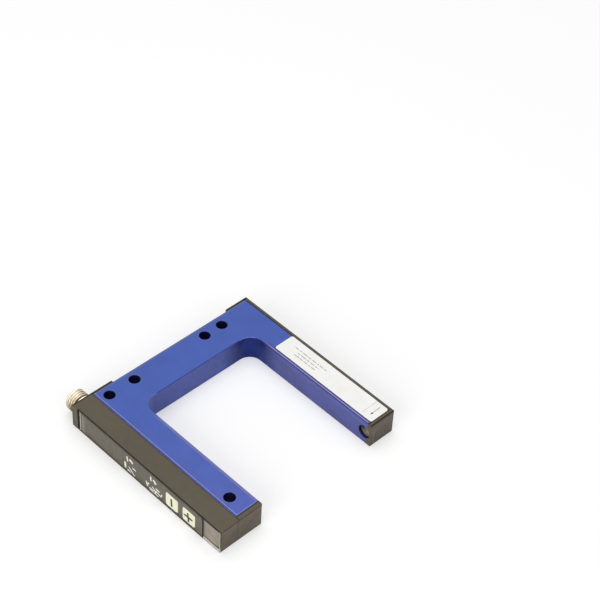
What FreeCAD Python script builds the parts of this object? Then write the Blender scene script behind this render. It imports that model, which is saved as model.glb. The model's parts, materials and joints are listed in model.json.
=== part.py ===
import FreeCAD, Part
import math
import os

os.makedirs("parts", exist_ok=True)

# Fork sensor, lying flat.
# X runs from the bridge to the tips, Y from the control side to the receiver side, and Z is up.
# While the pieces are made, X is 0 at the bridge's back face and Y is 0 on the fork's centre line.
# At the end all are moved so that the origin is the centre of the bottom.

# Metal fork
FORK_GAP = 50.0
FORK_DEPTH = 59.0
LEG_WIDTH = 10.0
BRIDGE_WIDTH = 14.0
THICKNESS = 10.0
INNER_CORNER_RADIUS = 5.0
FRAME_CHAMFER = 0.2

# Mounting holes for M4 screws, through the thickness
HOLE_RADIUS = 2.05
HOLE_CHAMFER = 0.15
HOLE_INSET = 4.0
LEG_HOLE_SPACING = 60.0
BRIDGE_HOLE_SPACING = 40.0
EXTRA_HOLE_SPACING = 8.0

# Plastic mouldings on the fork
CONTROL_WIDTH = 8.3
STRIP_WIDTH = 1.1
TIP_CAP = 1.8
BACK_LIP = 0.8
LIP_REACH = 8.8
TIP_RADIUS = 0.4
PLASTIC_CHAMFER = 0.15

# Control housing: its walls, and the pockets of the panel and the indicator window
FRAME_SIDE_WALL = 1.4
CAVITY_FLOOR = 0.8
CAVITY_ROOF_WALL = 1.1
BACK_WALL = 4.4
PANEL_START = 2.9
POCKET_FLOOR = 0.5
WINDOW_POCKET_FLOOR = 1.85
POCKET_ROOF_LIP = 0.25
TIP_RIM = 0.3
CROSS_BAR_WIDTH = 2.4
CROSS_BAR_THICKNESS = 1.0
RIB_WIDTH = 1.5
RIB_COUNT = 3

# Panel, its seal and the indicator window
PANEL_THICKNESS = 1.2
PANEL_SETBACK = 0.1
PANEL_END_CHAMFER = 0.4
LEGEND_DEPTH = 0.08
LEGEND_END_MARGIN = 2.3
LEGEND_EDGE_MARGIN = 0.35
SEAL_END_WIDTH = 0.6
SEAL_MIDDLE_WIDTH = 0.7
SEAL_FLOOR = 0.25
BEAD_DEPTH = 0.25
BEAD_HEIGHT = 0.2
INDICATOR_LENGTH = 7.55
INDICATOR_BEVEL_LENGTH = 1.9
INDICATOR_BEVEL_DEPTH = 0.25
GUIDE_WIDTH = 3.8
GUIDE_HEIGHT = 4.0

# Push keys and the switches behind them
KEY_WIDTH = 6.0
KEY_PITCH = 8.25
KEY_INSET = 6.5
KEY_BOTTOM_MARGIN = 0.45
KEY_TOP_MARGIN = 2.7
KEY_CORNER = 0.8
KEY_CLEARANCE = 0.12
KEY_TRAVEL = 0.25
KEY_FLANGE_THICKNESS = 0.5
KEY_FLANGE_REACH = 0.4
KEY_FLANGE_RISE = 0.25
KEY_BACK_GAP = 0.05
STEM_RADIUS = 1.1
SWITCH_SIDE = 4.5
SWITCH_HEIGHT = 1.3
PLUNGER_RADIUS = 0.9
PLUNGER_LENGTH = 1.05
PLUNGER_REACH = 0.35
PLUNGER_CLEARANCE = 0.08
STOP_GAP = 0.1

# Boards, chips and cable
BOARD_THICKNESS = 1.0
BOARD_CLEARANCE = 0.2
CHIP_SIDE = 5.0
CHIP_HEIGHT = 1.0
CHIP_PLACE = 18.0
DRIVER_SIDE = 3.0
DRIVER_PLACE = 10.0
AMPLIFIER_PLACE = 14.0
LAMP_LENGTH = 1.4
LAMP_WIDTH = 1.6
LAMP_HEIGHT = 0.8
LAMP_PITCH = 1.9
CABLE_RADIUS = 1.2
CABLE_CLEARANCE = 0.3
CABLE_INSET = 4.0

# Optics, on one axis across the fork
BEAM_INSET = 3.0
TIP_WALL = 0.4
WINDOW_SETBACK = 1.2
WINDOW_THICKNESS = 0.6
OPTIC_CLEARANCE = 0.05
TUBE_WALL = 0.45
TUBE_SHOULDER = 0.4
LENS_EDGE = 0.8
LENS_CROWN = 0.7
LENS_GAP = 0.3
DIODE_SIDE = 2.0
DIODE_BODY = 0.5
DIODE_DOME_RADIUS = 0.75
DIODE_DOME_HEIGHT = 0.4
DIODE_GAP = 0.2
CHANNEL_WALL = 2.0
CHANNEL_INNER_WALL = 4.0
CHANNEL_START = 5.0

# Connector, M8, along X on the back
CONNECTOR_OFFSET = 3.0
THREAD_RADIUS = 4.0
THREAD_LENGTH = 5.8
THREAD_CHAMFER = 0.5
SOCKET_RADIUS = 3.15
SOCKET_DEPTH = 4.6
NECK_RADIUS = 2.6
NECK_BORE = 2.05
NECK_CLEARANCE = 0.05
INSERT_CLEARANCE = 0.05
INSERT_FACE = 0.9
PIN_RADIUS = 0.4
PIN_OFFSET = 0.95
PIN_CLEARANCE = 0.02
PIN_RECESS = 0.8
PIN_TAIL = 2.1
GASKET_RADIUS = 3.3
GASKET_WIDTH = 0.7
GASKET_THICKNESS = 0.6
GASKET_CLEARANCE = 0.04

# Label on the receiver leg
LABEL_LENGTH = 46.9
LABEL_INNER_MARGIN = 1.35
LABEL_EDGE_MARGIN = 0.2
LABEL_TIP_OVERHANG = 0.2
LABEL_CORNER = 0.8
LABEL_THICKNESS = 0.1

# Derived places
TIP_X = BRIDGE_WIDTH + FORK_DEPTH
FRAME_END = TIP_X - TIP_CAP
GAP_SIDE = FORK_GAP / 2
FRAME_SIDE = GAP_SIDE + LEG_WIDTH
FACE_Y = -(FRAME_SIDE + CONTROL_WIDTH)
COVER_Y = FRAME_SIDE + STRIP_WIDTH
BACK_X = -BACK_LIP
MIDDLE_Z = THICKNESS / 2

BEAM_X = TIP_X - BEAM_INSET
OPTIC_RADIUS = BEAM_INSET - TIP_WALL
TUBE_RADIUS = OPTIC_RADIUS - OPTIC_CLEARANCE
CABLE_X = BRIDGE_WIDTH - CABLE_INSET

POCKET_DEPTH = PANEL_SETBACK + PANEL_THICKNESS
POCKET_TOP = THICKNESS - POCKET_ROOF_LIP
POCKET_X0 = BACK_X + PANEL_START
POCKET_X1 = TIP_X - TIP_RIM
INDICATOR_X0 = POCKET_X1 - INDICATOR_LENGTH
PANEL_X0 = POCKET_X0 + SEAL_END_WIDTH
PANEL_X1 = INDICATOR_X0 - SEAL_MIDDLE_WIDTH
PANEL_Z0 = POCKET_FLOOR + SEAL_FLOOR
BEAD_BACK = PANEL_SETBACK + BEAD_DEPTH

CAVITY_X0 = BACK_X + BACK_WALL
CAVITY_TOP = THICKNESS - CAVITY_ROOF_WALL
CAVITY_BACK = CONTROL_WIDTH - FRAME_SIDE_WALL
BAR_X1 = INDICATOR_X0 + (CROSS_BAR_WIDTH - SEAL_MIDDLE_WIDTH) / 2
BAR_X0 = BAR_X1 - CROSS_BAR_WIDTH

CONNECTOR_DEPTH = CONTROL_WIDTH - CONNECTOR_OFFSET
CONNECTOR_Y = FACE_Y + CONNECTOR_DEPTH
BOARD_FRONT = CONNECTOR_DEPTH - BOARD_THICKNESS / 2
BOARD_BACK = CONNECTOR_DEPTH + BOARD_THICKNESS / 2
BOARD_Z0 = CAVITY_FLOOR + BOARD_CLEARANCE
BOARD_Z1 = CAVITY_TOP - BOARD_CLEARANCE

KEY_Z0 = PANEL_Z0 + KEY_BOTTOM_MARGIN
KEY_Z1 = POCKET_TOP - KEY_TOP_MARGIN
KEY_Z = (KEY_Z0 + KEY_Z1) / 2
PLUS_X = PANEL_X1 - KEY_INSET
MINUS_X = PLUS_X - KEY_PITCH
SWITCH_FRONT = BOARD_FRONT - SWITCH_HEIGHT
STEM_END = SWITCH_FRONT - PLUNGER_REACH

CHANNEL_Y0 = GAP_SIDE + CHANNEL_INNER_WALL
RECEIVER_BOARD_Y0 = FRAME_SIDE - BOARD_THICKNESS
DIODE_HEIGHT = DIODE_BODY + DIODE_DOME_HEIGHT
WINDOW_BACK = GAP_SIDE + WINDOW_SETBACK + WINDOW_THICKNESS

THREAD_END = BACK_X - THREAD_LENGTH
SOCKET_FLOOR = THREAD_END + SOCKET_DEPTH

SLACK = 1.0


def point(x, y, z):
    return FreeCAD.Vector(x, y, z)


def face_y(depth):
    """Y of a place that lies this far inside the control side."""
    return FACE_Y + depth


def block(x0, x1, y0, y1, z0, z1):
    return Part.makeBox(x1 - x0, y1 - y0, z1 - z0, point(x0, y0, z0))


def inner_block(x0, x1, depth0, depth1, z0, z1):
    """A block given by its depths inside the control side."""
    return block(x0, x1, face_y(depth0), face_y(depth1), z0, z1)


def rod_along_y(radius, x, z, y0, y1):
    return Part.makeCylinder(radius, y1 - y0, point(x, y0, z), point(0, 1, 0))


def rod_along_x(radius, y, z, x0, x1):
    return Part.makeCylinder(radius, x1 - x0, point(x0, y, z), point(1, 0, 0))


def rounded_wire(corners, place):
    """Closed outline through (u, v, radius) corners. place turns (u, v) into a point."""
    edges = []
    starts = []
    ends = []
    count = len(corners)
    for i in range(count):
        u, v, radius = corners[i]
        before = corners[i - 1]
        after = corners[(i + 1) % count]
        corner = FreeCAD.Vector(u, v, 0)
        to_before = (FreeCAD.Vector(before[0], before[1], 0) - corner).normalize()
        to_after = (FreeCAD.Vector(after[0], after[1], 0) - corner).normalize()
        half_angle = to_before.getAngle(to_after) / 2
        run = radius / math.tan(half_angle)
        first = corner + to_before * run
        last = corner + to_after * run
        starts.append(first)
        ends.append(last)
        if radius > 0:
            bisector = (to_before + to_after).normalize()
            middle = corner + bisector * (radius / math.sin(half_angle) - radius)
            arc = Part.Arc(place(first.x, first.y), place(middle.x, middle.y), place(last.x, last.y))
            edges.append((i, arc.toShape()))
    for i in range(count):
        first = ends[i]
        last = starts[(i + 1) % count]
        line = Part.makeLine(place(first.x, first.y), place(last.x, last.y))
        edges.append((i + 0.5, line))
    edges.sort(key=lambda item: item[0])
    return Part.Wire([edge for _, edge in edges])


def flat_plate(corners, z0, z1):
    """Plate that lies flat, from its outline seen from above."""
    wire = rounded_wire(corners, lambda u, v: point(u, v, z0))
    return Part.Face(wire).extrude(point(0, 0, z1 - z0))


def upright_plate(corners, depth0, depth1):
    """Plate that is parallel to the control side, from its outline in X and Z."""
    wire = rounded_wire(corners, lambda u, v: point(u, face_y(depth0), v))
    return Part.Face(wire).extrude(point(0, depth1 - depth0, 0))


def rectangle(u0, u1, v0, v1, radius):
    return [(u0, v0, radius), (u1, v0, radius), (u1, v1, radius), (u0, v1, radius)]


def break_rims(shape, size):
    """Chamfers the edges round the top and the bottom face."""
    rims = []
    for edge in shape.Edges:
        box = edge.BoundBox
        level = box.ZMax - box.ZMin < 1e-6
        outer = abs(box.ZMin) < 1e-6 or abs(box.ZMax - THICKNESS) < 1e-6
        if level and outer:
            rims.append(edge)
    return shape.makeChamfer(size, rims)


def hole_places():
    """Centres of the holes: two along leg 1, two either side of the bridge's middle and one beside them."""
    side = FRAME_SIDE - HOLE_INSET
    half = BRIDGE_HOLE_SPACING / 2
    return [
        (HOLE_INSET, -side),
        (HOLE_INSET + LEG_HOLE_SPACING, -side),
        (HOLE_INSET, -half),
        (HOLE_INSET, half),
        (HOLE_INSET, half - EXTRA_HOLE_SPACING),
    ]


def mounting_hole(x, y):
    wide = HOLE_RADIUS + HOLE_CHAMFER
    hole = Part.makeCylinder(HOLE_RADIUS, THICKNESS, point(x, y, 0))
    hole = hole.fuse(Part.makeCone(wide, HOLE_RADIUS, HOLE_CHAMFER, point(x, y, 0)))
    return hole.fuse(Part.makeCone(HOLE_RADIUS, wide, HOLE_CHAMFER, point(x, y, THICKNESS - HOLE_CHAMFER)))


def cable_bore():
    """Bore from the control housing's cavity through the bridge to the receiver's channel."""
    radius = CABLE_RADIUS + CABLE_CLEARANCE
    return rod_along_y(radius, CABLE_X, MIDDLE_Z, face_y(CAVITY_BACK), CHANNEL_Y0 + SLACK)


def emitter_bore():
    return rod_along_y(OPTIC_RADIUS, BEAM_X, MIDDLE_Z, face_y(CAVITY_BACK), -GAP_SIDE + SLACK)


def receiver_bore():
    end = RECEIVER_BOARD_Y0 - DIODE_HEIGHT
    return rod_along_y(OPTIC_RADIUS, BEAM_X, MIDDLE_Z, GAP_SIDE - SLACK, end)


def make_fork_frame():
    """Metal U with mounting holes, the cable bore, the two optical bores and the receiver's channel."""
    side = FRAME_SIDE
    corners = [
        (0, -side, 0),
        (FRAME_END, -side, 0),
        (FRAME_END, -GAP_SIDE, 0),
        (BRIDGE_WIDTH, -GAP_SIDE, INNER_CORNER_RADIUS),
        (BRIDGE_WIDTH, GAP_SIDE, INNER_CORNER_RADIUS),
        (FRAME_END, GAP_SIDE, 0),
        (FRAME_END, side, 0),
        (0, side, 0),
    ]
    frame = break_rims(flat_plate(corners, 0, THICKNESS), FRAME_CHAMFER)
    for x, y in hole_places():
        frame = frame.cut(mounting_hole(x, y))
    channel = block(CHANNEL_START, TIP_X, CHANNEL_Y0, side + SLACK, CHANNEL_WALL, THICKNESS - CHANNEL_WALL)
    return frame.cut(channel).cut(cable_bore()).cut(emitter_bore()).cut(receiver_bore())


def panel_pocket():
    """Room for the panel, the indicator window and their seal in the housing's side."""
    panel = inner_block(POCKET_X0, INDICATOR_X0, 0, POCKET_DEPTH, POCKET_FLOOR, POCKET_TOP)
    window = inner_block(INDICATOR_X0, POCKET_X1, 0, POCKET_DEPTH, WINDOW_POCKET_FLOOR, POCKET_TOP)
    bead = inner_block(POCKET_X0, POCKET_X1, 0, BEAD_BACK, POCKET_TOP, THICKNESS)
    return panel.fuse([window, bead])


def housing_cavity():
    """Space behind the panel, with a cross bar left between the panel and the indicator window."""
    deep = POCKET_DEPTH + CROSS_BAR_THICKNESS
    main = inner_block(CAVITY_X0, FRAME_END, deep, CAVITY_BACK, CAVITY_FLOOR, CAVITY_TOP)
    behind_panel = inner_block(CAVITY_X0, BAR_X0, POCKET_DEPTH, deep, CAVITY_FLOOR, CAVITY_TOP)
    floor = WINDOW_POCKET_FLOOR
    behind_window = inner_block(BAR_X1, FRAME_END - SLACK, POCKET_DEPTH, deep, floor, CAVITY_TOP)
    return main.fuse([behind_panel, behind_window])


def board_ribs():
    """Cross ribs on the cavity's back wall that carry the main board."""
    ribs = []
    first = CABLE_X + CABLE_RADIUS + 2 * RIB_WIDTH
    last = BEAM_X - OPTIC_RADIUS - 2 * RIB_WIDTH
    for i in range(RIB_COUNT):
        x = first + (last - first) * i / (RIB_COUNT - 1)
        low = x - RIB_WIDTH / 2
        ribs.append(inner_block(low, low + RIB_WIDTH, BOARD_BACK, CAVITY_BACK, CAVITY_FLOOR, CAVITY_TOP))
    return ribs


def make_control_housing():
    """Moulding along leg 1, round its tip and over a part of the bridge's back face."""
    corners = [
        (BACK_X, FACE_Y, 0),
        (TIP_X, FACE_Y, 0),
        (TIP_X, -GAP_SIDE, TIP_RADIUS),
        (FRAME_END, -GAP_SIDE, 0),
        (FRAME_END, -FRAME_SIDE, 0),
        (0, -FRAME_SIDE, 0),
        (0, -FRAME_SIDE + LIP_REACH, 0),
        (BACK_X, -FRAME_SIDE + LIP_REACH, 0),
    ]
    housing = break_rims(flat_plate(corners, 0, THICKNESS), PLASTIC_CHAMFER)
    housing = housing.cut(panel_pocket()).cut(housing_cavity()).fuse(board_ribs())
    neck = rod_along_x(NECK_RADIUS + NECK_CLEARANCE, CONNECTOR_Y, MIDDLE_Z, BACK_X - SLACK, CAVITY_X0 + SLACK)
    return housing.cut(neck).cut(cable_bore()).cut(emitter_bore()).removeSplitter()


def key_outline(x, grow_x, grow_z, radius):
    half = KEY_WIDTH / 2 + grow_x
    return rectangle(x - half, x + half, KEY_Z0 - grow_z, KEY_Z1 + grow_z, radius)


def make_control_panel():
    """Plate with a sunk legend field and two key windows."""
    outer = inner_block(PANEL_X0, PANEL_X1, PANEL_SETBACK, POCKET_DEPTH, PANEL_Z0, POCKET_TOP)
    ends = []
    for edge in outer.Edges:
        box = edge.BoundBox
        upright = box.ZMax - box.ZMin > SLACK
        if upright and abs(box.XMax - PANEL_X0) < 1e-6 and abs(box.YMax - face_y(PANEL_SETBACK)) < 1e-6:
            ends.append(edge)
    panel = outer.makeChamfer(PANEL_END_CHAMFER, ends)
    legend = inner_block(
        PANEL_X0 + LEGEND_END_MARGIN,
        PANEL_X1 - LEGEND_END_MARGIN,
        0,
        PANEL_SETBACK + LEGEND_DEPTH,
        PANEL_Z0 + LEGEND_EDGE_MARGIN,
        POCKET_TOP - LEGEND_EDGE_MARGIN,
    )
    panel = panel.cut(legend)
    for x in (MINUS_X, PLUS_X):
        window = key_outline(x, KEY_CLEARANCE, KEY_CLEARANCE, KEY_CORNER)
        panel = panel.cut(upright_plate(window, 0, POCKET_DEPTH + SLACK))
    return panel


def make_panel_seal():
    """Seal round the ends and the bottom of the panel and the window, with a bead along the top edge."""
    panel_room = inner_block(POCKET_X0, INDICATOR_X0, PANEL_SETBACK, POCKET_DEPTH, POCKET_FLOOR, POCKET_TOP)
    window_room = inner_block(
        INDICATOR_X0, POCKET_X1, PANEL_SETBACK, POCKET_DEPTH, WINDOW_POCKET_FLOOR, POCKET_TOP
    )
    bead = inner_block(POCKET_X0, POCKET_X1, PANEL_SETBACK, BEAD_BACK, POCKET_TOP, POCKET_TOP + BEAD_HEIGHT)
    seal = panel_room.fuse([window_room, bead])
    seal = seal.cut(inner_block(PANEL_X0, PANEL_X1, 0, POCKET_DEPTH, PANEL_Z0, POCKET_TOP))
    window_floor = WINDOW_POCKET_FLOOR + SEAL_FLOOR
    window = inner_block(INDICATOR_X0, POCKET_X1, 0, POCKET_DEPTH, window_floor, POCKET_TOP)
    return seal.cut(window).removeSplitter()


def make_indicator_window():
    """Clear block with a bevel towards the tip and a light guide towards the lamps."""
    bevel_depth = PANEL_SETBACK + INDICATOR_BEVEL_DEPTH
    corners = [
        (INDICATOR_X0, face_y(PANEL_SETBACK), 0),
        (POCKET_X1 - INDICATOR_BEVEL_LENGTH, face_y(PANEL_SETBACK), 0),
        (POCKET_X1, face_y(bevel_depth), 0),
        (POCKET_X1, face_y(POCKET_DEPTH), 0),
        (INDICATOR_X0, face_y(POCKET_DEPTH), 0),
    ]
    window = flat_plate(corners, WINDOW_POCKET_FLOOR + SEAL_FLOOR, POCKET_TOP)
    middle = lamp_middle()
    guide = inner_block(
        middle - GUIDE_WIDTH / 2,
        middle + GUIDE_WIDTH / 2,
        POCKET_DEPTH,
        BOARD_FRONT - LAMP_HEIGHT - DIODE_GAP,
        MIDDLE_Z - GUIDE_HEIGHT / 2,
        MIDDLE_Z + GUIDE_HEIGHT / 2,
    )
    return window.fuse(guide).removeSplitter()


def lamp_middle():
    """X of the middle between the two lamps, centred behind the indicator window."""
    return (BAR_X1 + FRAME_END - SLACK) / 2


def make_key(x):
    """Key cap with a flange behind the panel and a stem that presses the switch."""
    flange_front = POCKET_DEPTH + KEY_BACK_GAP
    cap = upright_plate(key_outline(x, 0, 0, KEY_CORNER), 0, flange_front)
    flange_back = flange_front + KEY_FLANGE_THICKNESS
    flange_outline = key_outline(x, KEY_FLANGE_REACH, KEY_FLANGE_RISE, KEY_CORNER)
    flange = upright_plate(flange_outline, flange_front, flange_back)
    stem = rod_along_y(STEM_RADIUS, x, KEY_Z, face_y(flange_back), face_y(STEM_END))
    return cap.fuse([flange, stem]).removeSplitter()


def make_switch(x):
    """Square switch body with a bore that guides its plunger."""
    half = SWITCH_SIDE / 2
    body = inner_block(x - half, x + half, SWITCH_FRONT, BOARD_FRONT, KEY_Z - half, KEY_Z + half)
    bore_depth = PLUNGER_LENGTH - PLUNGER_REACH + KEY_TRAVEL + STOP_GAP
    bore_end = face_y(SWITCH_FRONT + bore_depth)
    bore = rod_along_y(PLUNGER_RADIUS + PLUNGER_CLEARANCE, x, KEY_Z, face_y(SWITCH_FRONT - SLACK), bore_end)
    return body.cut(bore)


def make_plunger(x):
    return rod_along_y(PLUNGER_RADIUS, x, KEY_Z, face_y(STEM_END), face_y(STEM_END + PLUNGER_LENGTH))


def make_receiver_cover():
    """Moulding over the outer side of leg 2, round its tip and over a part of the bridge's back face."""
    corners = [
        (BACK_X, COVER_Y, 0),
        (BACK_X, FRAME_SIDE - LIP_REACH, 0),
        (0, FRAME_SIDE - LIP_REACH, 0),
        (0, FRAME_SIDE, 0),
        (FRAME_END, FRAME_SIDE, 0),
        (FRAME_END, GAP_SIDE, 0),
        (TIP_X, GAP_SIDE, 0),
        (TIP_X, COVER_Y, TIP_RADIUS),
    ]
    cover = break_rims(flat_plate(corners, 0, THICKNESS), PLASTIC_CHAMFER)
    return cover.cut(receiver_bore())


def make_window(y0):
    """Round window, y0 being its side with the lower Y."""
    return rod_along_y(TUBE_RADIUS, BEAM_X, MIDDLE_Z, y0, y0 + WINDOW_THICKNESS)


def make_tube(front, back):
    """Tube of the optics from its window end to its diode end, with a shoulder for the lens."""
    away = 1 if back > front else -1
    seat = front + away * (LENS_GAP + LENS_CROWN + LENS_EDGE)
    wide = TUBE_RADIUS - TUBE_WALL
    narrow = wide - TUBE_SHOULDER
    tube = rod_along_y(TUBE_RADIUS, BEAM_X, MIDDLE_Z, min(front, back), max(front, back))
    tube = tube.cut(rod_along_y(wide, BEAM_X, MIDDLE_Z, min(front, seat), max(front, seat)))
    return tube.cut(rod_along_y(narrow, BEAM_X, MIDDLE_Z, min(seat, back), max(seat, back)))


def make_lens(front, away):
    """Lens, flat on the tube's shoulder and domed towards the window."""
    radius = TUBE_RADIUS - TUBE_WALL - OPTIC_CLEARANCE
    seat = front + away * (LENS_GAP + LENS_CROWN + LENS_EDGE)
    rim = seat - away * LENS_EDGE
    crown = rim - away * LENS_CROWN
    sphere = (radius * radius + LENS_CROWN * LENS_CROWN) / (2 * LENS_CROWN)
    centre = crown + away * sphere
    half_way = radius / 2
    bulge = centre - away * math.sqrt(sphere * sphere - half_way * half_way)
    dome = Part.Arc(point(0, crown, 0), point(half_way, bulge, 0), point(radius, rim, 0)).toShape()
    side = Part.makeLine(point(radius, rim, 0), point(radius, seat, 0))
    flat = Part.makeLine(point(radius, seat, 0), point(0, seat, 0))
    axis = Part.makeLine(point(0, seat, 0), point(0, crown, 0))
    section = Part.Face(Part.Wire([dome, side, flat, axis]))
    lens = section.revolve(point(0, 0, 0), point(0, 1, 0), 360)
    lens.translate(point(BEAM_X, 0, MIDDLE_Z))
    return lens


def make_diode(base, away):
    """Square package with a round dome, standing on its board at base and facing along away."""
    half = DIODE_SIDE / 2
    top = base + away * DIODE_BODY
    dome_end = top + away * DIODE_DOME_HEIGHT
    low = MIDDLE_Z - half
    body = block(BEAM_X - half, BEAM_X + half, min(base, top), max(base, top), low, low + DIODE_SIDE)
    dome = rod_along_y(DIODE_DOME_RADIUS, BEAM_X, MIDDLE_Z, min(top, dome_end), max(top, dome_end))
    return body.fuse(dome).removeSplitter()


def make_main_board():
    """Board behind the panel, between the connector's pins at its back end."""
    return inner_block(
        CAVITY_X0 + BOARD_CLEARANCE, FRAME_END - BOARD_CLEARANCE, BOARD_FRONT, BOARD_BACK, BOARD_Z0, BOARD_Z1
    )


def make_receiver_board():
    """Board in the channel of leg 2, flat against the cover."""
    return block(
        CHANNEL_START + BOARD_CLEARANCE,
        FRAME_END - BOARD_CLEARANCE,
        RECEIVER_BOARD_Y0,
        FRAME_SIDE,
        CHANNEL_WALL + BOARD_CLEARANCE,
        THICKNESS - CHANNEL_WALL - BOARD_CLEARANCE,
    )


def make_chip(x, side):
    """Chip on the front of the main board."""
    half = side / 2
    front = BOARD_FRONT - CHIP_HEIGHT
    return inner_block(x - half, x + half, front, BOARD_FRONT, MIDDLE_Z - half, MIDDLE_Z + half)


def make_amplifier():
    """Chip on the inner side of the receiver board."""
    half = DRIVER_SIDE / 2
    x = BEAM_X - AMPLIFIER_PLACE
    y = RECEIVER_BOARD_Y0 - CHIP_HEIGHT
    return block(x - half, x + half, y, RECEIVER_BOARD_Y0, MIDDLE_Z - half, MIDDLE_Z + half)


def make_lamp(x):
    """Small lamp on the front of the main board, behind the light guide."""
    low = x - LAMP_LENGTH / 2
    front = BOARD_FRONT - LAMP_HEIGHT
    half = LAMP_WIDTH / 2
    return inner_block(low, low + LAMP_LENGTH, front, BOARD_FRONT, MIDDLE_Z - half, MIDDLE_Z + half)


def make_link_cable():
    """Cable between the two boards, through the bridge."""
    return rod_along_y(CABLE_RADIUS, CABLE_X, MIDDLE_Z, face_y(BOARD_BACK), RECEIVER_BOARD_Y0)


def turned(outline):
    """Solid of revolution about the connector's axis, from (x, radius) points."""
    points = [point(x, 0, radius) for x, radius in outline]
    section = Part.Face(Part.makePolygon(points + [points[0]]))
    solid = section.revolve(point(0, 0, 0), point(1, 0, 0), 360)
    solid.translate(point(0, CONNECTOR_Y, MIDDLE_Z))
    return solid


def make_connector_shell():
    """Threaded shell with its socket, a neck in the housing's back wall and a groove for the gasket."""
    shell = turned([
        (THREAD_END, SOCKET_RADIUS),
        (THREAD_END, THREAD_RADIUS - THREAD_CHAMFER),
        (THREAD_END + THREAD_CHAMFER, THREAD_RADIUS),
        (BACK_X, THREAD_RADIUS),
        (BACK_X, NECK_RADIUS),
        (CAVITY_X0, NECK_RADIUS),
        (CAVITY_X0, NECK_BORE),
        (SOCKET_FLOOR, NECK_BORE),
        (SOCKET_FLOOR, SOCKET_RADIUS),
    ])
    return shell.cut(flat_ring(GASKET_THICKNESS + GASKET_CLEARANCE, GASKET_WIDTH / 2 + GASKET_CLEARANCE))


def flat_ring(thickness, half_width):
    """Ring of rectangular section that lies on the housing's back, about the connector's axis."""
    inside = GASKET_RADIUS - half_width
    outside = GASKET_RADIUS + half_width
    return turned([
        (BACK_X - thickness, inside),
        (BACK_X - thickness, outside),
        (BACK_X, outside),
        (BACK_X, inside),
    ])


def make_connector_gasket():
    """Gasket that seals the shell's shoulder against the housing."""
    return flat_ring(GASKET_THICKNESS, GASKET_WIDTH / 2)


def pin_places():
    """Y and Z of the four contact pins."""
    places = []
    for dy in (-PIN_OFFSET, PIN_OFFSET):
        for dz in (-PIN_OFFSET, PIN_OFFSET):
            places.append((CONNECTOR_Y + dy, MIDDLE_Z + dz))
    return places


def make_connector_insert():
    """Plastic carrier of the pins, seated on the socket's floor."""
    face = SOCKET_FLOOR - INSERT_FACE
    insert = turned([
        (face, 0),
        (face, SOCKET_RADIUS - INSERT_CLEARANCE),
        (SOCKET_FLOOR, SOCKET_RADIUS - INSERT_CLEARANCE),
        (SOCKET_FLOOR, NECK_BORE - INSERT_CLEARANCE),
        (CAVITY_X0, NECK_BORE - INSERT_CLEARANCE),
        (CAVITY_X0, 0),
    ])
    for y, z in pin_places():
        insert = insert.cut(rod_along_x(PIN_RADIUS + PIN_CLEARANCE, y, z, face - SLACK, CAVITY_X0 + SLACK))
    return insert


def make_pin(y, z):
    return rod_along_x(PIN_RADIUS, y, z, THREAD_END + PIN_RECESS, CAVITY_X0 + PIN_TAIL)


def make_label():
    """Label stuck on top of the receiver leg and just over the edge of its tip cap."""
    end = FRAME_END + LABEL_TIP_OVERHANG
    inner = GAP_SIDE + LABEL_INNER_MARGIN
    outline = rectangle(end - LABEL_LENGTH, end, inner, FRAME_SIDE - LABEL_EDGE_MARGIN, LABEL_CORNER)
    return flat_plate(outline, THICKNESS, THICKNESS + LABEL_THICKNESS)


def make_nodes():
    lamp_x = lamp_middle()
    emitter_window_y = -GAP_SIDE - WINDOW_SETBACK - WINDOW_THICKNESS
    receiver_diode_y = RECEIVER_BOARD_Y0 - DIODE_HEIGHT - DIODE_GAP
    nodes = {
        "fork_frame": make_fork_frame(),
        "control_housing": make_control_housing(),
        "control_panel": make_control_panel(),
        "panel_seal": make_panel_seal(),
        "indicator_window": make_indicator_window(),
        "receiver_cover": make_receiver_cover(),
        "emitter_window": make_window(emitter_window_y),
        "receiver_window": make_window(GAP_SIDE + WINDOW_SETBACK),
        "emitter_tube": make_tube(-WINDOW_BACK, face_y(CAVITY_BACK)),
        "receiver_tube": make_tube(WINDOW_BACK, receiver_diode_y),
        "emitter_lens": make_lens(-WINDOW_BACK, -1),
        "receiver_lens": make_lens(WINDOW_BACK, 1),
        "emitter_led": make_diode(face_y(BOARD_BACK), 1),
        "receiver_photodiode": make_diode(RECEIVER_BOARD_Y0, -1),
        "main_board": make_main_board(),
        "receiver_board": make_receiver_board(),
        "microcontroller": make_chip(CAVITY_X0 + CHIP_PLACE, CHIP_SIDE),
        "output_driver": make_chip(CAVITY_X0 + DRIVER_PLACE, DRIVER_SIDE),
        "receiver_amplifier": make_amplifier(),
        "power_led": make_lamp(lamp_x - LAMP_PITCH / 2),
        "output_led": make_lamp(lamp_x + LAMP_PITCH / 2),
        "link_cable": make_link_cable(),
        "connector_shell": make_connector_shell(),
        "connector_insert": make_connector_insert(),
        "connector_gasket": make_connector_gasket(),
        "label": make_label(),
    }
    for sign, x in (("minus", MINUS_X), ("plus", PLUS_X)):
        nodes[sign + "_button"] = make_key(x)
        nodes[sign + "_switch"] = make_switch(x)
        nodes[sign + "_switch_plunger"] = make_plunger(x)
    for number, (y, z) in enumerate(pin_places(), start=1):
        nodes[f"contact_pin_{number}"] = make_pin(y, z)
    return nodes


origin = point((THREAD_END + TIP_X) / 2, (FACE_Y + COVER_Y) / 2, 0)
for name, shape in make_nodes().items():
    shape.translate(origin * -1)
    shape.exportStep(f"parts/{name}.step")
    print(name, "solids", len(shape.Solids), "valid", shape.isValid(), "volume", round(shape.Volume, 2))
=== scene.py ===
import json
import math
import bpy
from mathutils import Matrix, Vector


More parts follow.
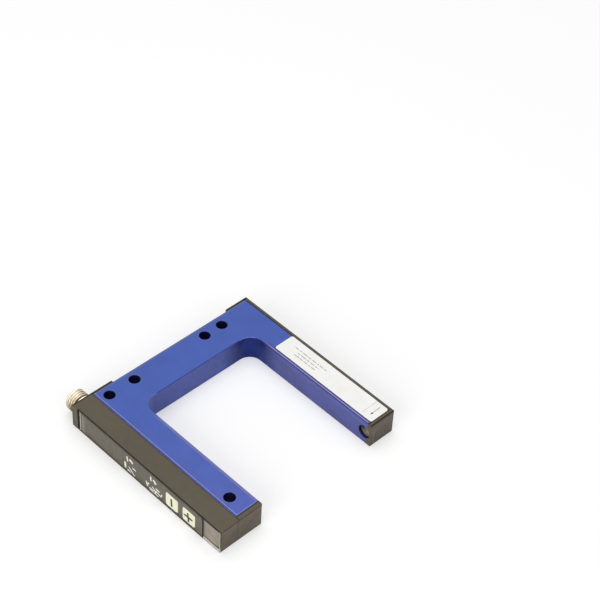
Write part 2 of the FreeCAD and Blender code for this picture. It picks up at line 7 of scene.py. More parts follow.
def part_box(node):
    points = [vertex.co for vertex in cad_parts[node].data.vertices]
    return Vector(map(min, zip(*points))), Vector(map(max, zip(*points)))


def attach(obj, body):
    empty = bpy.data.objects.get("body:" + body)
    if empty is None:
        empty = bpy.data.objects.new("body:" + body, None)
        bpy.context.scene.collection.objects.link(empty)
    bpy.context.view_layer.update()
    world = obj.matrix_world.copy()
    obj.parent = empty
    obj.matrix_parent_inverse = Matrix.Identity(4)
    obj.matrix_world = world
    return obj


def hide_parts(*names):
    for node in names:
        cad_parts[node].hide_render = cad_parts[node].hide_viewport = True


# Fork sensor. Leg 1 carries the control side, leg 2 the label, and the bridge joins them.
# All lengths in this file are millimetres in the row frame, and MM turns them into metres.
MM = 0.001
LEG_WIDTH = 10.0
BRIDGE_WIDTH = 14.0

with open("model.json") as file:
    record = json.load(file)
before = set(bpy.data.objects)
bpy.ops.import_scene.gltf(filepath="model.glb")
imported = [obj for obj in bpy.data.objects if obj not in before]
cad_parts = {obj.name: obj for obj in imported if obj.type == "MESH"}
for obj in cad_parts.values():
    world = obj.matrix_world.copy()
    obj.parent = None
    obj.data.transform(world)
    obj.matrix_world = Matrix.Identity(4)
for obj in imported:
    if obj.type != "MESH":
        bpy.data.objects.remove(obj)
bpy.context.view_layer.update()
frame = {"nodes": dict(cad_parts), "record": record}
nodes = frame["nodes"]


def mm_box(node):
    """Lowest and highest corner of a CAD node in millimetres."""
    low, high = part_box(node)
    return low / MM, high / MM


# Materials


class Material:
    """A Principled material whose colour, roughness and relief come from textures in object space.

    A mask is a value from 0 to 1 that says where a tone shows."""

    def __init__(self, name):
        self.material = bpy.data.materials.new(name)
        self.material.use_nodes = True
        self.tree = self.material.node_tree
        self.shader = self.tree.nodes["Principled BSDF"]
        self.place = self.add("ShaderNodeTexCoord").outputs["Object"]
        self.relief = None

    def add(self, kind, **settings):
        node = self.tree.nodes.new(kind)
        for key, value in settings.items():
            setattr(node, key, value)
        return node

    def link(self, source, target):
        self.tree.links.new(source, target)

    def set(self, **values):
        """Constant values on the shader's own sockets."""
        for key, value in values.items():
            self.shader.inputs[key.replace("_", " ")].default_value = value

    def noise(self, size, detail=3.0, stretch=(1, 1, 1)):
        """Noise whose features are about size millimetres across."""
        mapping = self.add("ShaderNodeMapping")
        mapping.inputs["Scale"].default_value = [s / (size * MM) for s in stretch]
        self.link(self.place, mapping.inputs["Vector"])
        texture = self.add("ShaderNodeTexNoise")
        texture.inputs["Scale"].default_value = 1.0
        texture.inputs["Detail"].default_value = detail
        self.link(mapping.outputs["Vector"], texture.inputs["Vector"])
        return texture.outputs["Fac"]

    def cells(self, size):
        """Small cells, for a moulded grain."""
        texture = self.add("ShaderNodeTexVoronoi")
        texture.inputs["Scale"].default_value = 1 / (size * MM)
        self.link(self.place, texture.inputs["Vector"])
        return texture.outputs["Distance"]

    def spread(self, value, low, high, start=0.35, end=0.65):
        """Runs from low to high while the value goes from start to end."""
        node = self.add("ShaderNodeMapRange")
        node.inputs["From Min"].default_value = start
        node.inputs["From Max"].default_value = end
        node.inputs["To Min"].default_value = low
        node.inputs["To Max"].default_value = high
        self.link(value, node.inputs["Value"])
        return node.outputs["Result"]

    def rise(self, value, start, end):
        return self.spread(value, 0, 1, start, end)

    def fall(self, value, start, end):
        return self.spread(value, 1, 0, start, end)

    def tones(self, value, dark, light, start=0.35, end=0.65):
        """Colour that runs from dark to light as a texture's value rises."""
        ramp = self.add("ShaderNodeValToRGB")
        first, last = ramp.color_ramp.elements
        first.position, last.position = start, end
        first.color, last.color = (*dark, 1), (*light, 1)
        self.link(value, ramp.inputs["Fac"])
        return ramp.outputs["Color"]

    def mix(self, mask, below, above):
        """Colour that is below where the mask is 0 and above where it is 1."""
        node = self.add("ShaderNodeMix", data_type="RGBA")
        factor, first, second = (node.inputs[i] for i in (0, 6, 7))
        self.link(mask, factor)
        self.link(below, first)
        self.link(above, second)
        return node.outputs[2]

    def calc(self, operation, first, second=0.0):
        node = self.add("ShaderNodeMath", operation=operation)
        for socket, value in zip(node.inputs, (first, second)):
            if isinstance(value, (int, float)):
                socket.default_value = value
            else:
                self.link(value, socket)
        return node.outputs["Value"]

    def axis(self, letter):
        """Coordinate of the surface point in millimetres."""
        node = self.add("ShaderNodeSeparateXYZ")
        self.link(self.place, node.inputs["Vector"])
        return self.calc("MULTIPLY", node.outputs[letter], 1 / MM)

    def axes(self, letters):
        return [self.axis(letter) for letter in letters]

    def facing(self, letter):
        """How far the surface faces along an axis, from -1 to 1."""
        node = self.add("ShaderNodeSeparateXYZ")
        self.link(self.add("ShaderNodeNewGeometry").outputs["Normal"], node.inputs["Vector"])
        return node.outputs[letter]

    def band(self, value, low, high, soft=0.05):
        """1 where the value lies between low and high, with soft ends."""
        rise = self.rise(value, low - soft, low + soft)
        fall = self.fall(value, high - soft, high + soft)
        return self.calc("MULTIPLY", rise, fall)

    def along(self, value, edge, span, soft=0.05):
        """Band whose two ends are measured from an edge."""
        return self.band(value, *measured_from(edge, span), soft)

    def near(self, letters, centre, radius, soft=0.05):
        """1 within the radius of a line through the centre, along the axis that isn't named."""
        squares = []
        for letter, middle in zip(letters, centre):
            offset = self.calc("SUBTRACT", self.axis(letter), middle)
            squares.append(self.calc("MULTIPLY", offset, offset))
        distance = self.calc("SQRT", self.calc("ADD", *squares))
        return self.fall(distance, radius - soft, radius + soft)

    def all_of(self, *masks):
        """Product of masks. A plain number among them is the share that is left of the rest."""
        total = masks[0]
        for mask in masks[1:]:
            total = self.calc("MULTIPLY", total, mask)
        return total

    def any_of(self, *masks):
        total = masks[0]
        for mask in masks[1:]:
            total = self.calc("MAXIMUM", total, mask)
        return total

    def colour(self, source):
        self.link(source, self.shader.inputs["Base Color"])

    def roughness(self, source, low, high):
        self.link(self.spread(source, low, high), self.shader.inputs["Roughness"])

    def bump(self, source, height):
        """Relief of that height in millimetres. Several calls add up."""
        node = self.add("ShaderNodeBump")
        node.inputs["Strength"].default_value = 1.0
        node.inputs["Distance"].default_value = height * MM
        self.link(source, node.inputs["Height"])
        if self.relief:
            self.link(self.relief, node.inputs["Normal"])
        self.relief = node.outputs["Normal"]
        self.link(self.relief, self.shader.inputs["Normal"])


def shade(tone, factor):
    return tuple(channel * factor for channel in tone)


def measured_from(edge, span):
    """Both ends of a span that is measured from an edge."""
    return edge + span[0], edge + span[1]


def hole_places():
    """Centres of the screw holes in the row frame, from the record's bolt patterns."""
    places = set()
    for mount in frame["record"]["mounts"]:
        if mount["kind"] != "bolt_pattern":
            continue
        x, y = (value / MM for value in mount["pos_m"][:2])
        dims = mount["dims"]
        du, dv = dims.get("spacing_x_mm", 0) / 2, dims.get("spacing_y_mm", 0) / 2
        for sign in (-1, 1):
            places.add((round(x + sign * du, 3), round(y + sign * dv, 3)))
    return sorted(places)


# Edges and faces that the lines of light and shade follow. PAST takes a line over the edge of its piece.
# A pair gives both ends of a band or a fade. Pairs whose names end in HEIGHTS, FADE or ENDS count from
# the origin of the row frame, and all others from the edge that they follow.
FRAME_LOW, FRAME_HIGH = mm_box("fork_frame")
LEG_1_FACE = FRAME_LOW.y + LEG_WIDTH
LEG_2_FACE = FRAME_HIGH.y - LEG_WIDTH
BRIDGE_FACE = FRAME_LOW.x + BRIDGE_WIDTH
LABEL_LOW, LABEL_HIGH = mm_box("label")
PANEL_LOW, PANEL_HIGH = mm_box("control_panel")
WINDOW_LOW, WINDOW_HIGH = mm_box("indicator_window")
OPTIC_PLACE = (36.8, 5.0)
CORNER_OFFSET = 1.5
FAR_CORNER = (BRIDGE_FACE + CORNER_OFFSET, LEG_2_FACE - CORNER_OFFSET)
PAST = 1.0
OVER_FACE = 0.4


# Blue metal of the frame: the tones of its faces first, then its edges, then its holes. Most of them are
# painted light and shade.
LIT_TOP_TONE = (0.042, 0.090, 0.385)
SHADED_SIDE_TONE = (0.065, 0.077, 0.288)
EDGE_HIGHLIGHT_TONE = (0.110, 0.140, 0.440)
LINE_HIGHLIGHT_TONE = (0.250, 0.255, 0.620)
CORNER_REACH, CORNER_FADE = 9.0, 4.0
LEG_1_FADE = (-14.0, 34.0)
GLOW_HEIGHTS = (7.9, 9.3)


def frame_faces(m, cloud, flat, corner_shade):
    """Painted light and shade: even blue on the lit top, deeper on the shaded upright faces and darkest,
    with painted shade, in the far inner corner.
    """
    x, y, z = m.axes("XYZ")
    leg_1 = m.band(y, FRAME_LOW.y - PAST, LEG_1_FACE + OVER_FACE)
    upper = m.tones(cloud, shade(LIT_TOP_TONE, 0.94), shade(LIT_TOP_TONE, 1.05))
    # Painted light: the top of leg 1 turns a little paler towards its tip.
    leg_1_top = m.tones(cloud, (0.055, 0.089, 0.375), (0.062, 0.097, 0.410))
    upper = m.mix(m.all_of(leg_1, m.rise(x, *LEG_1_FADE)), upper, leg_1_top)
    lower = m.tones(cloud, shade(SHADED_SIDE_TONE, 0.85), shade(SHADED_SIDE_TONE, 1.15))
    # Painted highlight: a paler band under the top edge of the faces that look towards lower Y, such as leg
    # 2's inner face.
    glow = m.tones(cloud, shade(SHADED_SIDE_TONE, 1.05), shade(SHADED_SIDE_TONE, 1.35))
    under_label = m.all_of(m.fall(m.facing("Y"), -0.9, -0.5), m.band(z, *GLOW_HEIGHTS, 0.5))
    lower = m.mix(under_label, lower, glow)
    # Lit and shaded copies of the side tone: one for faces that look towards higher X, such as the bridge's
    # inner face, one for faces that look towards higher Y, such as leg 1's inner face.
    bridge_side = m.tones(cloud, (0.048, 0.076, 0.310), (0.058, 0.090, 0.365))
    lower = m.mix(m.rise(m.facing("X"), 0.3, 0.9), lower, bridge_side)
    leg_1_side = m.tones(cloud, (0.085, 0.110, 0.340), (0.100, 0.130, 0.400))
    lower = m.mix(m.rise(m.facing("Y"), 0.45, 0.9), lower, leg_1_side)
    # Painted shade in the far inner corner.
    lower = m.mix(corner_shade, lower, m.tones(cloud, (0.004, 0.017, 0.150), (0.008, 0.024, 0.180)))
    return m.mix(m.rise(flat, 0.3, 0.9), lower, upper)


BACK_RIM = (-PAST, 0.85)
LEG_1_RIM = (-1.1, OVER_FACE)
LEG_1_RIM_FADE = (-13.0, -9.0)
SIDE_LINE = (0.52, 0.86)
SIDE_DUSK = (-PAST, 0.42)
TIP_LINE = (-0.34, PAST)
COVER_GAP = (-0.42, PAST)
HOLE_RING_RADIUS = 2.35


def frame_lines(m, fine, body, on_top, tones):
    """Painted light and shade: pale and dark lines that the light draws along the edges of the top, and a
    faint painted highlight ring at each hole.
    """
    x, y = m.axes("XY")
    back_rim = m.tones(fine, (0.076, 0.110, 0.260), (0.086, 0.122, 0.290))
    body = m.mix(m.all_of(on_top, m.along(x, FRAME_LOW.x, BACK_RIM, 0.25)), body, back_rim)
    leg_rim = m.all_of(on_top, m.along(y, LEG_1_FACE, LEG_1_RIM), m.rise(x, *LEG_1_RIM_FADE))
    body = m.mix(leg_rim, body, tones["inner rim"])
    side_line = m.all_of(m.along(y, FRAME_LOW.y, SIDE_LINE), 0.7)
    tip_line = m.along(x, FRAME_HIGH.x, TIP_LINE)
    body = m.mix(m.all_of(on_top, m.any_of(side_line, tip_line)), body, tones["line"])
    body = m.mix(m.all_of(on_top, m.along(y, FRAME_LOW.y, SIDE_DUSK)), body, tones["dusk"])
    # Painted shade in the gap along the cover.
    before_label = m.band(x, FRAME_LOW.x + PAST, LABEL_LOW.x)
    cover_gap = m.all_of(on_top, m.along(y, FRAME_HIGH.y, COVER_GAP), before_label)
    body = m.mix(cover_gap, body, tones["deep"])
    rings = m.any_of(*(m.near("XY", place, HOLE_RING_RADIUS, 0.15) for place in hole_places()))
    return m.mix(m.all_of(on_top, rings, 0.5), body, tones["edge"])


STRIP_START, STRIP_STOP = -0.2, 0.02
STRIP_FADE = 3.8
STRIP_TAIL = (-0.15, -0.05)
STRIP_LINE = (0.30, 0.74)
STRIP_DUSK = (0.82, 1.25)


def strip_by_label(m, fine, body, on_top, tones):
    """The frame's narrow strip between leg 2's inner edge and the label: violet, with a painted highlight
    line and painted shade next to the label.
    """
    x, y = m.axes("XY")
    start = m.rise(x, LABEL_LOW.x - STRIP_FADE, LABEL_LOW.x)
    end = m.fall(x, *measured_from(FRAME_HIGH.x, STRIP_TAIL))
    across = m.band(y, LEG_2_FACE + STRIP_START, LABEL_LOW.y + STRIP_STOP, 0.03)
    place = m.all_of(on_top, start, end, across)
    violet = m.tones(fine, (0.085, 0.080, 0.330), (0.115, 0.108, 0.400))
    pale = m.tones(fine, (0.170, 0.175, 0.390), (0.250, 0.258, 0.570))
    strip = m.mix(m.along(y, LEG_2_FACE, STRIP_DUSK), violet, tones["dusk"])
    strip = m.mix(m.along(y, LEG_2_FACE, STRIP_LINE), strip, pale)
    return m.mix(place, body, strip)


BRIDGE_EDGE = (-0.3, 0.7)
BRIDGE_EDGE_ENDS = (-15.0, 23.0)
LEG_1_BEVEL = (-0.6, OVER_FACE)
LEG_2_BEVEL = (-0.6, 0.6)
LEG_2_BEVEL_DUSK = (0.05, 0.6)


def frame_bevels(m, fine, flat, body, on_top, tones):
    """Broken edges, which catch more light or less than the faces beside them."""
    x, y = m.axes("XY")
    night = m.tones(fine, (0.014, 0.038, 0.215), (0.022, 0.052, 0.270))
    leg_2 = m.mix(m.along(y, LEG_2_FACE, LEG_2_BEVEL_DUSK), night, tones["dusk"])
    bevel = m.mix(m.along(y, LEG_2_FACE, LEG_2_BEVEL), tones["edge"], leg_2)
    bridge_edge = m.all_of(m.along(x, BRIDGE_FACE, BRIDGE_EDGE), m.band(y, *BRIDGE_EDGE_ENDS, 0.5))
    bevel = m.mix(bridge_edge, bevel, night)
    bevel = m.mix(m.along(y, LEG_1_FACE, LEG_1_BEVEL), bevel, tones["inner rim"])
    body = m.mix(m.band(flat, 0.45, 0.9, 0.08), body, bevel)
    return m.mix(m.all_of(on_top, bridge_edge), body, night)


BORE_REACH = 2.2
OPTIC_REACH = 2.95
LEG_1_POCKET = (-8.6, -0.02)
LEG_2_POCKET = (0.02, 5.4)
POCKET_HEIGHTS = (2.6, 4.4)


def frame_openings(m, flat, body, tones):
    """Painted shade on the walls of the screw holes and of the pockets in front of the optics."""
    y, z = m.axes("YZ")
    in_leg = m.any_of(m.along(y, LEG_2_FACE, LEG_2_POCKET), m.along(y, LEG_1_FACE, LEG_1_POCKET))
    pockets = m.all_of(m.near("XZ", OPTIC_PLACE, OPTIC_REACH), in_leg)
    pocket_tone = m.mix(m.fall(z, *POCKET_HEIGHTS), tones["deep"], tones["dusk"])
    body = m.mix(pockets, body, pocket_tone)
    bores = m.any_of(*(m.near("XY", place, BORE_REACH) for place in hole_places()))
    return m.mix(m.all_of(bores, m.fall(flat, 0.5, 0.9)), body, tones["deep"])


def blue_metal():
    """Coated metal with painted light and shade: even blue on the lit top, deeper on the shaded sides, paler
    on the edges as painted highlights.
    """
    m = Material("blue_metal")
    cloud = m.noise(9, 4)
    fine = m.noise(0.35, 2)
    flat = m.calc("ABSOLUTE", m.facing("Z"))
    on_top = m.rise(m.facing("Z"), 0.85, 0.95)
    corner_shade = m.near("XY", FAR_CORNER, CORNER_REACH, CORNER_FADE)
    # Painted light and shade: edge and line are painted highlights, deep and dusk are painted shade, and
    # inner rim is a painted highlight along leg 1's inner edge.
    tones = {
        "edge": m.tones(fine, shade(EDGE_HIGHLIGHT_TONE, 0.75), shade(EDGE_HIGHLIGHT_TONE, 1.1)),
        "line": m.tones(fine, shade(LINE_HIGHLIGHT_TONE, 0.75), shade(LINE_HIGHLIGHT_TONE, 1.1)),
        "deep": m.tones(fine, (0.001, 0.003, 0.048), (0.003, 0.006, 0.068)),
        "dusk": m.tones(fine, (0.012, 0.013, 0.080), (0.020, 0.021, 0.110)),
        "inner rim": m.tones(fine, (0.112, 0.130, 0.330), (0.128, 0.146, 0.370)),
    }
    body = frame_faces(m, cloud, flat, corner_shade)
    body = frame_lines(m, fine, body, on_top, tones)
    body = strip_by_label(m, fine, body, on_top, tones)
    body = frame_bevels(m, fine, flat, body, on_top, tones)
    m.colour(frame_openings(m, flat, body, tones))
    m.set(Specular_IOR_Level=0.45)
    # The corner with the painted shade is also more metallic, which keeps it dark.
    upright_corner = m.all_of(corner_shade, m.fall(flat, 0.3, 0.9))
    m.link(m.spread(upright_corner, 0.25, 0.7, 0, 1), m.shader.inputs["Metallic"])
    m.roughness(m.noise(1.2, 5), 0.36, 0.50)
    m.bump(fine, 0.004)
    m.bump(m.noise(0.5, 3, (0.08, 1, 1)), 0.002)
    return m.material


# Dark plastic of the housing and the cover.
HOUSING_LOW, HOUSING_HIGH = mm_box("control_housing")
COVER_LOW, COVER_HIGH = mm_box("receiver_cover")
FRONT_CORNER = (-0.45, PAST)
FRONT_CORNER_DEPTH = (-PAST, 0.16)
FRONT_CORNER_HEIGHTS = (0.8, 3.5)
FRONT_CORNER_LINE = (0.3, 0.7)
CORNER_LINE_HEIGHTS = (2.0, 9.0)
PANEL_TOP_LINE = (-PAST, 0.5)
PANEL_END_GAP = (-0.82, -0.55)
PANEL_GAP_DEPTH = (-PAST, 0.3)
PANEL_GAP_HEIGHTS = (0.6, 9.7)
UNDER_WINDOW_GAP = 0.3
FRAME_SIDE_LINE = (-0.35, 0.1)
FRAME_TIP_LINE = (0.0, 0.45)
TIP_LINE_START = -0.3
COVER_FRAME_LINE = (-PAST, 0.1)
BACK_LIP_LINE = (-PAST, 0.75)
LABEL_END_LINE = (0.0, 0.3)
COVER_TIP_LINE = (-0.5, -0.1)
END_FACE = (-0.1, PAST)
END_JOINT = (-0.9, -0.3)
NEAR_TOP_HEIGHTS = (9.35, 9.75)
FAR_TOP_HEIGHTS = (9.45, 9.85)
FOOT_HEIGHTS = (-0.5, 0.5)
DIM_HEIGHTS = (0.0, 8.0)
PALE_LINE = (1.5, 1.85)
PALE_LINE_HEIGHTS = (1.0, 7.6)
SHEEN_HEIGHTS = (5.0, 9.3)
SHEEN_BY_FRAME = (-4.6, -1.1)
SHEEN_STOP = (0.4, 1.4)
SHEEN_BY_SIDE = (-4.7, -0.7)
TOP_MIDDLE_ENDS = (-16.0, 22.0)


def end_sheen(m, end_face):
    """Painted sheen: the tip faces get lighter towards the top, towards the frame and towards leg 2's outer
    side.
    """
    y, z = m.axes("YZ")
    towards_frame = m.all_of(
        m.spread(y, 0, 0.5, *measured_from(LEG_1_FACE, SHEEN_BY_FRAME)),
        m.fall(y, *measured_from(LEG_1_FACE, SHEEN_STOP)),
    )
    outer_side = m.spread(y, 0, 0.5, *measured_from(COVER_HIGH.y, SHEEN_BY_SIDE))
    return m.all_of(end_face, m.any_of(m.rise(z, *SHEEN_HEIGHTS), towards_frame, outer_side))


def top_lines(m, upward, on_cover):
    """Dark lines of painted shade on the upper faces, where the plastic meets the frame, the label and the
    panel.
    """
    x, y = m.axes("XY")
    tip_gap = m.all_of(
        m.band(y, FRAME_LOW.y + TIP_LINE_START, LEG_1_FACE + OVER_FACE),
        m.along(x, FRAME_HIGH.x, FRAME_TIP_LINE, 0.08),
    )
    back_lip = m.along(x, HOUSING_LOW.x, BACK_LIP_LINE)
    over_panel = m.all_of(
        m.along(y, HOUSING_LOW.y, PANEL_TOP_LINE, 0.08),
        m.band(x, PANEL_LOW.x, HOUSING_HIGH.x + PAST, 0.2),
    )
    soft_lines = m.all_of(upward, m.any_of(tip_gap, back_lip, over_panel), 0.7)
    frame_line = m.all_of(upward, m.along(y, FRAME_LOW.y, FRAME_SIDE_LINE), 0.6)
    cover_line = m.all_of(
        upward,
        m.along(y, FRAME_HIGH.y, COVER_FRAME_LINE),
        m.band(x, HOUSING_LOW.x - PAST, LABEL_LOW.x),
    )
    tip_edge = m.all_of(upward, on_cover, m.along(x, HOUSING_HIGH.x, COVER_TIP_LINE, 0.1))
    label_end = m.all_of(upward, on_cover, m.along(x, LABEL_HIGH.x, LABEL_END_LINE))
    return m.any_of(soft_lines, frame_line, cover_line, tip_edge, label_end)


def end_lines(m, end_face, on_cover):
    """Dark lines of painted shade on the tip faces: under the top edge, at the foot, at the front corner and
    at the joint.
    """
    y, z = m.axes("YZ")
    near_top = m.all_of(m.band(z, *NEAR_TOP_HEIGHTS, 0.1), m.band(y, HOUSING_LOW.y - PAST, 0))
    far_top = m.all_of(m.band(z, *FAR_TOP_HEIGHTS, 0.1), on_cover)
    far_foot = m.all_of(m.band(z, *FOOT_HEIGHTS, 0.2), on_cover)
    corner_light = m.spread(z, 0.2, 0.7, *CORNER_LINE_HEIGHTS)
    corner = m.all_of(m.along(y, HOUSING_LOW.y, FRONT_CORNER_LINE), corner_light)
    joint = m.all_of(m.along(y, FRAME_LOW.y, END_JOINT, 0.35), 0.3)
    return m.all_of(end_face, m.any_of(near_top, far_top, far_foot, corner, joint))


def housing_edges(m, shown):
    """Painted shade lines along the broken edges, and pale tones at the front corner, as a painted
    highlight, and under the window.
    """
    x, y, z = m.axes("XYZ")
    pale = m.tones(m.noise(0.8), (0.44, 0.42, 0.37), (0.58, 0.56, 0.51))
    dark = m.tones(m.noise(0.5), (0.014, 0.011, 0.006), (0.026, 0.021, 0.012))
    paler_tone = m.tones(m.noise(0.7), (0.110, 0.092, 0.064), (0.150, 0.128, 0.092))
    sheen = m.tones(m.noise(0.9), (0.098, 0.069, 0.044), (0.117, 0.083, 0.055))
    upward = m.rise(m.facing("Z"), 0.25, 0.4)
    end_face = m.along(x, HOUSING_HIGH.x, END_FACE)
    on_cover = m.band(y, COVER_LOW.y - PAST, COVER_HIGH.y + PAST)
    shown = m.mix(end_sheen(m, end_face), shown, sheen)
    middle_of_top = m.all_of(upward, m.band(x, *TOP_MIDDLE_ENDS, 8), 0.14)
    shown = m.mix(middle_of_top, shown, dark)
    # Painted shade: dark lines in the joints and along the broken edges, which also lose gloss there.
    panel_end = m.all_of(
        m.along(x, PANEL_LOW.x, PANEL_END_GAP),
        m.along(y, HOUSING_LOW.y, PANEL_GAP_DEPTH),
        m.band(z, *PANEL_GAP_HEIGHTS),
    )
    lines = m.any_of(panel_end, top_lines(m, upward, on_cover), end_lines(m, end_face, on_cover))
    shown = m.mix(lines, shown, dark)
    m.link(m.spread(lines, 0.5, 0.06, 0, 1), m.shader.inputs["Specular IOR Level"])
    # Painted shade: leg 2's tip face darker towards its foot.
    dim_foot = m.all_of(end_face, on_cover, m.spread(z, 0.75, 0.15, *DIM_HEIGHTS))
    shown = m.mix(dim_foot, shown, dark)
    # A paler upright line on leg 2's tip face.
    pale_upright_line = m.all_of(end_face, m.along(y, COVER_LOW.y, PALE_LINE, 0.15), m.band(z, *PALE_LINE_HEIGHTS, 0.5))
    shown = m.mix(pale_upright_line, shown, paler_tone)
    # A pale strip under the window, and a painted highlight down the front corner.
    under_window = m.all_of(
        m.band(x, WINDOW_LOW.x, HOUSING_HIGH.x + PAST, 0.1),
        m.band(y, HOUSING_LOW.y - PAST, WINDOW_LOW.y + UNDER_WINDOW_GAP),
        m.band(z, -PAST, WINDOW_LOW.z - UNDER_WINDOW_GAP),
    )
    front_corner = m.all_of(
        m.along(x, HOUSING_HIGH.x, FRONT_CORNER),
        m.along(y, HOUSING_LOW.y, FRONT_CORNER_DEPTH),
        m.spread(z, 1, 0.6, *FRONT_CORNER_HEIGHTS),
    )
    return m.mix(m.any_of(under_window, front_corner), shown, pale)


def moulded(name, tone, rough, grain=0.12, height=0.006, extra=None, specular=0.5):
    """Moulded plastic with a fine spark-eroded grain and slight flow marks."""
    m = Material(name)
    cloud = m.noise(7, 4, (0.4, 1, 1))
    speck = m.noise(0.3)
    ground = m.tones(cloud, shade(tone, 0.93), shade(tone, 1.06))
    specks = m.tones(speck, tone, shade(tone, 1.25))
    shown = m.mix(m.spread(speck, 0, 0.35, 0.45, 0.75), ground, specks)
    m.set(Specular_IOR_Level=specular)
    m.colour(extra(m, shown) if extra else shown)
    m.roughness(m.noise(2.5, 4), rough - 0.05, rough + 0.07)
    m.bump(m.cells(grain), height)
    m.bump(m.noise(0.6, 2), height / 2)
    return m.material


PALE_BAND = (-PAST, 0.66)
SECOND_BAND = (1.6, 2.7)
BORDER_HEIGHTS = (8.4, 9.4)
BORDER_START = (0.4, 1.4)


def panel_bands(m, shown):
    """Lighter upright bands at the panel's end towards the connector, which are painted highlights, and a
    dark border of painted shade along its top.
    """
    x, z = m.axes("XZ")
    light = m.tones(m.noise(0.7), (0.74, 0.69, 0.61), (0.86, 0.81, 0.72))
    dark = m.tones(m.noise(0.5), (0.018, 0.014, 0.007), (0.030, 0.024, 0.013))
    first = m.along(x, PANEL_LOW.x, PALE_BAND, 0.12)
    second = m.all_of(m.along(x, PANEL_LOW.x, SECOND_BAND, 0.4), 0.15)
    shown = m.mix(m.any_of(first, second), shown, light)
    border_start = m.spread(x, 0.35, 0.92, *measured_from(PANEL_LOW.x, BORDER_START))
    border = m.all_of(m.rise(z, *BORDER_HEIGHTS), border_start)
    return m.mix(border, shown, dark)


WINDOW_DIM = (0.0, 4.5)
WINDOW_SIDE = (0.1, 0.75)
WINDOW_TOP = (-0.6, 0.0)


def window_tones(m, shown):
    """Painted shade: darker towards the panel and under the top edge of the indicator window."""
    x, z = m.axes("XZ")
    dim = m.tones(m.noise(0.9), (0.215, 0.180, 0.130), (0.275, 0.232, 0.172))
    dark = m.tones(m.noise(0.6), (0.035, 0.027, 0.014), (0.055, 0.044, 0.025))
    shown = m.mix(m.fall(x, *measured_from(WINDOW_LOW.x, WINDOW_DIM)), shown, dim)
    side = m.fall(x, *measured_from(WINDOW_LOW.x, WINDOW_SIDE))
    top = m.all_of(m.rise(z, *measured_from(WINDOW_HIGH.z, WINDOW_TOP)), 0.8)
    return m.mix(m.any_of(side, top), shown, dark)


SEAL_FOOT_HEIGHTS = (0.8, 1.1)


def seal_tones(m, shown):
    """Painted highlight: paler along the foot, where the seal turns up to the light."""
    paler_tone = m.tones(m.noise(0.6), (0.075, 0.064, 0.048), (0.095, 0.082, 0.062))
    return m.mix(m.fall(m.axis("Z"), *SEAL_FOOT_HEIGHTS), shown, paler_tone)


WINDOW_SHADE_CENTRE = (OPTIC_PLACE[0] - 1.8, OPTIC_PLACE[1] + 1.2)
WINDOW_SHADE_RADIUS = 2.0


def optic_tones(m, shown):
    """Painted shade on the window, darkest a little above its middle and towards the bridge."""
    dark = m.tones(m.noise(0.5), (0.020, 0.013, 0.014), (0.045, 0.030, 0.030))
    return m.mix(m.near("XZ", WINDOW_SHADE_CENTRE, WINDOW_SHADE_RADIUS, 1.1), shown, dark)


def clear_plastic(name, dark, light, rough, transmission, extra=None):
    """See-through plastic with faint flow lines."""
    m = Material(name)
    shown = m.tones(m.noise(2, 4, (0.5, 1, 1)), dark, light)
    m.colour(extra(m, shown) if extra else shown)
    m.roughness(m.noise(0.8), rough, rough + 0.08)
    m.set(Transmission_Weight=transmission, IOR=1.49)
    m.bump(m.noise(0.5), 0.003)
    return m.material


SHELL_LOW, SHELL_HIGH = mm_box("connector_shell")
SHELL_RADIUS = (SHELL_HIGH.y - SHELL_LOW.y) / 2
SHELL_PLACE = ((SHELL_LOW.y + SHELL_HIGH.y) / 2, (SHELL_LOW.z + SHELL_HIGH.z) / 2)
ROOT_DEPTH = 0.27
ROOT_HEIGHTS = (5.6, 7.6)
ROOT_START = (1.4, 3.6)
LOWER_HEIGHTS = (5.2, 8.4)
LOWER_START = (0.4, 3.3)
LAST_GROOVE = (-1.85, -1.15)
LAST_GROOVE_DEPTH = 0.2


def thread_tones(m, shown):
    """Painted shade: brown in the roots of the thread and on its lower half, and dark in the last groove."""
    x, z = m.axes("XZ")
    brown = m.tones(m.noise(0.6), (0.10, 0.070, 0.030), (0.17, 0.125, 0.065))
    straw = m.tones(m.noise(0.6), (0.52, 0.42, 0.28), (0.66, 0.55, 0.40))
    shadow = m.tones(m.noise(0.9), (0.20, 0.125, 0.065), (0.30, 0.195, 0.110))
    groove_shade = m.tones(m.noise(0.5), (0.075, 0.040, 0.016), (0.120, 0.068, 0.030))
    root = m.mix(m.rise(x, *measured_from(SHELL_LOW.x, ROOT_START)), straw, brown)
    root = m.mix(m.spread(z, 0, 0.85, *ROOT_HEIGHTS), root, straw)
    lower_start = m.spread(x, 0.2, 1, *measured_from(SHELL_LOW.x, LOWER_START))
    shown = m.mix(m.all_of(m.fall(z, *LOWER_HEIGHTS), lower_start), shown, shadow)
    shown = m.mix(m.near("YZ", SHELL_PLACE, SHELL_RADIUS - ROOT_DEPTH, 0.1), shown, root)
    groove_floor = m.near("YZ", SHELL_PLACE, SHELL_RADIUS - LAST_GROOVE_DEPTH, 0.1)
    groove = m.all_of(m.along(x, HOUSING_LOW.x, LAST_GROOVE), groove_floor)
    return m.mix(groove, shown, groove_shade)


def metal(name, dark, light, rough, height=0.003, extra=None):
    """Plated metal with turning marks and a slight tarnish."""
    m = Material(name)
    turned = (4, 1, 1)
    shown = m.tones(m.noise(2.4, 4), dark, light)
    m.colour(extra(m, shown) if extra else shown)
    m.set(Metallic=0.9, Specular_IOR_Level=0.6)
    m.roughness(m.noise(0.6, 4, turned), rough, rough + 0.14)
    m.bump(m.noise(0.2, 2, turned), height)
    return m.material


